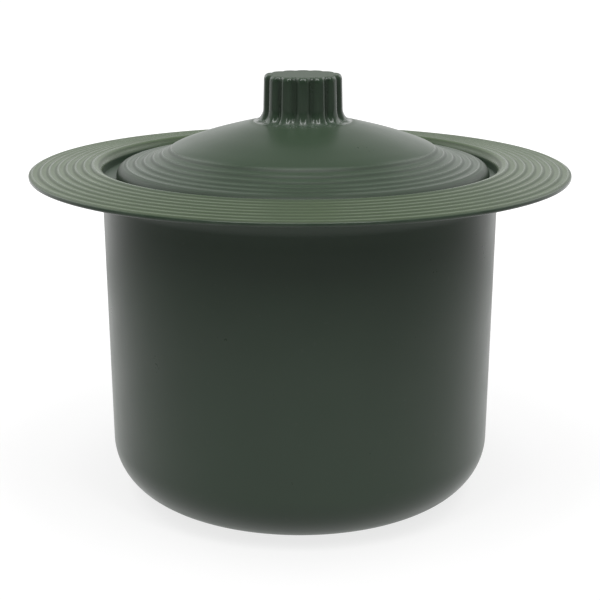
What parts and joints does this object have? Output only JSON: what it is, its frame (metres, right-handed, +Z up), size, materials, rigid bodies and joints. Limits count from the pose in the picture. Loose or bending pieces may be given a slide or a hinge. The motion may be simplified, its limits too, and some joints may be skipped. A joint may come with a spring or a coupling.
{
  "type": "inkwell",
  "caption": "Round desk inkwell with a wide ribbed brim, a lift-out porcelain liner and a domed lid lifted by a fluted knob.",
  "frame": {"origin": "centre of the base pad's underside, on the surface that the inkwell stands on", "axes": "+Z up along the pot's axis, -Y towards the viewer, +X to the viewer's right"},
  "size_m": [0.1, 0.1, 0.0797],
  "materials": {
    "green_plastic": "satin",
    "porcelain": "gloss",
    "dark_rubber": "matte",
    "felt": "matte",
    "brass": "satin"
  },
  "bodies": {
    "pot_body": {"pot": "green_plastic", "base_pad": "felt", "brim_collar": "green_plastic", "liner_seat_ring": "dark_rubber"},
    "liner_body": {"ink_liner": "porcelain"},
    "seal_body": {"lid_seal_ring": "dark_rubber"},
    "lid_body": {"lid": "green_plastic", "knob": "green_plastic", "knob_insert": "brass", "knob_washer": "brass", "knob_screw": "brass"}
  },
  "joints": [
    {"name": "liner_lift", "type": "slide", "parent": "pot_body", "child": "liner_body", "axis": [0, 0, 1], "range_m": [0, 0.085]},
    {"name": "lid_lift", "type": "slide", "parent": "liner_body", "child": "seal_body", "axis": [0, 0, 1], "range_m": [0, 0.06]},
    {"name": "lid_turn", "type": "hinge", "parent": "seal_body", "child": "lid_body", "pos_m": [0.00055, 0, 0.0595], "axis": [0, 0, 1], "continuous": true}
  ]
}
